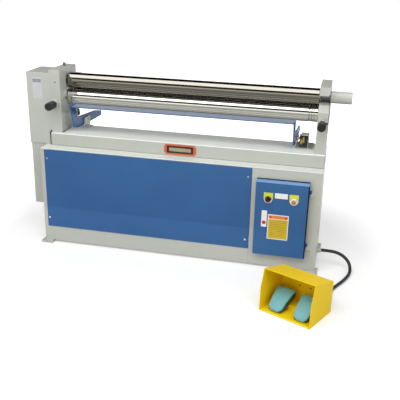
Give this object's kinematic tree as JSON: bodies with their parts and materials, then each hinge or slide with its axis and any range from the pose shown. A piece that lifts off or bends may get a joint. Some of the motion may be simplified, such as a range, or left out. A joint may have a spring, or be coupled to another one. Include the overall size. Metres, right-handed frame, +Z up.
{
  "type": "slip roll",
  "caption": "Powered slip roll for bending sheet metal: pinch rolls and a rear bending roll between two heads on an enclosed stand, with a trip bar and a hooded twin foot switch",
  "frame": {"origin": "On the floor, under the middle of the box that holds the machine and its foot switch without the cable", "axes": "+X along the rolls towards the release end, +Y to the rear of the machine, +Z up"},
  "size_m": [1.6918, 1.0162, 0.9219],
  "materials": {
    "stand_paint": "smooth grey-white paint",
    "machine_paint": "slightly textured grey-white paint on castings",
    "cover_paint": "smooth grey-white paint",
    "sleeve_paint": "grey-white paint, bare steel spigot",
    "blue_paint": "smooth medium blue paint",
    "guard_yellow": "bright yellow paint",
    "treadle_teal": "pale teal, satin",
    "roll_steel": "ground and polished",
    "ground_steel": "ground",
    "chain_steel": "oiled",
    "gear_iron": "machined and greased",
    "bearing_block": "machined",
    "motor_iron": "dark grey paint",
    "name_plate": "orange-red, bare",
    "black_knob": "moulded, satin",
    "black_plastic": "moulded, satin",
    "lever_brass": "dull",
    "lamp_amber": "clear amber lens",
    "gland_grey": "moulded grey",
    "cable_black": "smooth rubber jacket"
  },
  "bodies": {
    "frame": {"leg_front_left": "stand_paint", "leg_rear_left": "stand_paint", "leg_front_right": "stand_paint", "leg_rear_right": "stand_paint", "bottom_channel": "stand_paint", "stand_top": "stand_paint", "left_end_panel": "stand_paint", "right_end_panel": "stand_paint", "rear_panel": "stand_paint", "column_front": "stand_paint", "stand_divider": "stand_paint", "front_panel": "blue_paint", "bed": "machine_paint", "name_plate": "name_plate", "left_head": "machine_paint", "right_standard": "machine_paint", "drive_chain": "chain_steel", "motor_shelf": "stand_paint", "gear_motor": "motor_iron", "gear_cover_upper": "cover_paint", "gear_cover_lower": "cover_paint", "oil_cup": "ground_steel", "left_trip_bracket": "machine_paint", "right_trip_bracket": "machine_paint", "limit_switch": "black_plastic", "electrical_box": "stand_paint", "contactor": "black_plastic", "pedal_guard": "guard_yellow", "pedal_pin": "ground_steel", "pedal_switch": "black_plastic", "stand_gland": "gland_grey", "hood_gland": "gland_grey", "foot_cable": "cable_black"},
    "bottom_carriage": {"bottom_block_left": "bearing_block", "bottom_block_right": "bearing_block"},
    "bottom_roll": {"bottom_roll": "roll_steel", "bottom_gear": "gear_iron"},
    "top_swing": {"swivel_block": "bearing_block"},
    "top_roll": {"top_roll": "roll_steel"},
    "release_sleeve": {"release_sleeve": "sleeve_paint"},
    "drive_hub": {"drive_hub": "gear_iron"},
    "lower_chain_wheel": {"lower_chain_wheel": "gear_iron"},
    "rear_carriage": {"rear_block_left": "bearing_block", "rear_block_right": "bearing_block"},
    "rear_roll": {"rear_roll": "roll_steel"},
    "rear_knob_left": {"rear_knob_left": "black_knob"},
    "rear_knob_right": {"rear_knob_right": "black_knob"},
    "wedge_left": {"wedge_left": "ground_steel"},
    "wedge_right": {"wedge_right": "ground_steel"},
    "front_knob_left": {"front_knob_left": "black_knob"},
    "front_knob_right": {"front_knob_right": "black_knob"},
    "trip_bar": {"trip_front_bar": "blue_paint", "trip_left_arm": "blue_paint", "trip_right_arm": "blue_paint"},
    "switch_lever": {"switch_lever": "lever_brass"},
    "door": {"door": "blue_paint", "pilot_lamp": "lamp_amber"},
    "selector_knob": {"selector_knob": "black_plastic"},
    "left_pedal": {"left_pedal": "treadle_teal"},
    "right_pedal": {"right_pedal": "treadle_teal"}
  },
  "joints": [
    {"name": "bottom_lift", "type": "slide", "parent": "frame", "child": "bottom_carriage", "axis": [0, 0, 1], "range_m": [-0.002, 0.009]},
    {"name": "bottom_spin", "type": "hinge", "parent": "bottom_carriage", "child": "bottom_roll", "pos_m": [0, 0.2141, 0.7503], "axis": [1, 0, 0], "continuous": true},
    {"name": "top_swing", "type": "hinge", "parent": "frame", "child": "top_swing", "pos_m": [-0.65265, 0.2141, 0.8363], "axis": [0, 0, -1], "range_deg": [0, 10]},
    {"name": "top_spin", "type": "hinge", "parent": "top_swing", "child": "top_roll", "pos_m": [0, 0.2141, 0.8363], "axis": [1, 0, 0], "continuous": true},
    {"name": "sleeve_slide", "type": "slide", "parent": "top_swing", "child": "release_sleeve", "axis": [1, 0, 0], "range_m": [0, 0.062]},
    {"name": "hub_spin", "type": "hinge", "parent": "frame", "child": "drive_hub", "pos_m": [-0.71777, 0.2141, 0.8363], "axis": [1, 0, 0], "continuous": true},
    {"name": "wheel_spin", "type": "hinge", "parent": "frame", "child": "lower_chain_wheel", "pos_m": [-0.71777, 0.1891, 0.3], "axis": [1, 0, 0], "continuous": true},
    {"name": "rear_lift", "type": "slide", "parent": "frame", "child": "rear_carriage", "axis": [0, -0.3795, 0.9252], "range_m": [-0.012, 0.03]},
    {"name": "rear_spin", "type": "hinge", "parent": "rear_carriage", "child": "rear_roll", "pos_m": [0, 0.3041, 0.7623], "axis": [1, 0, 0], "continuous": true},
    {"name": "rear_knob_left_turn", "type": "hinge", "parent": "rear_carriage", "child": "rear_knob_left", "pos_m": [-0.65265, 0.3041, 0.7623], "axis": [0, -0.3795, 0.9252], "range_deg": [-720, 1800]},
    {"name": "rear_knob_right_turn", "type": "hinge", "parent": "rear_carriage", "child": "rear_knob_right", "pos_m": [0.68085, 0.3041, 0.7623], "axis": [0, -0.3795, 0.9252], "range_deg": [-720, 1800]},
    {"name": "wedge_left_slide", "type": "slide", "parent": "frame", "child": "wedge_left", "axis": [0, 1, 0], "range_m": [-0.004, 0.018]},
    {"name": "wedge_right_slide", "type": "slide", "parent": "frame", "child": "wedge_right", "axis": [0, 1, 0], "range_m": [-0.004, 0.018]},
    {"name": "front_knob_left_turn", "type": "hinge", "parent": "frame", "child": "front_knob_left", "pos_m": [-0.65265, 0.06486, 0.7323], "axis": [0, 1, 0], "range_deg": [-288, 1296]},
    {"name": "front_knob_right_turn", "type": "hinge", "parent": "frame", "child": "front_knob_right", "pos_m": [0.68085, 0.06486, 0.7323], "axis": [0, 1, 0], "range_deg": [-288, 1296]},
    {"name": "trip_hinge", "type": "hinge", "parent": "frame", "child": "trip_bar", "pos_m": [0, 0.3041, 0.6143], "axis": [1, 0, 0], "range_deg": [0, 3], "stiffness_Nm_per_rad": 25, "springref_deg": -20.05},
    {"name": "lever_hinge", "type": "hinge", "parent": "frame", "child": "switch_lever", "pos_m": [0.57223, 0.1911, 0.6323], "axis": [1, 0, 0], "range_deg": [0, 14.4]},
    {"name": "door_hinge", "type": "hinge", "parent": "frame", "child": "door", "pos_m": [0.65915, 0.0191, 0.27], "axis": [0, 0, 1], "range_deg": [0, 100]},
    {"name": "selector_turn", "type": "hinge", "parent": "door", "child": "selector_knob", "pos_m": [0.46285, -0.01514, 0.374], "axis": [0, 1, 0], "range_deg": [0, 80]},
    {"name": "left_pedal_hinge", "type": "hinge", "parent": "frame", "child": "left_pedal", "pos_m": [0.62415, -0.4217, 0.016], "axis": [-0.9041, 0.4274, 0], "range_deg": [0, 8], "stiffness_Nm_per_rad": 2, "springref_deg": -28.65},
    {"name": "right_pedal_hinge", "type": "hinge", "parent": "frame", "child": "right_pedal", "pos_m": [0.62415, -0.4217, 0.016], "axis": [-0.9041, 0.4274, 0], "range_deg": [0, 8], "stiffness_Nm_per_rad": 2, "springref_deg": -28.65}
  ],
  "couplings": [
    {"joint": "top_spin", "follows": "bottom_spin", "ratio": -1},
    {"joint": "hub_spin", "follows": "bottom_spin", "ratio": -1},
    {"joint": "wheel_spin", "follows": "bottom_spin", "ratio": -1.5833},
    {"joint": "wedge_left_slide", "follows": "bottom_lift", "ratio": 2},
    {"joint": "wedge_right_slide", "follows": "bottom_lift", "ratio": 2},
    {"joint": "front_knob_left_turn", "follows": "bottom_lift", "rad_per_m": 2513.3},
    {"joint": "front_knob_right_turn", "follows": "bottom_lift", "rad_per_m": 2513.3},
    {"joint": "rear_knob_left_turn", "follows": "rear_lift", "rad_per_m": 1047.2},
    {"joint": "rear_knob_right_turn", "follows": "rear_lift", "rad_per_m": 1047.2},
    {"joint": "lever_hinge", "follows": "trip_hinge", "ratio": 4.8}
  ]
}
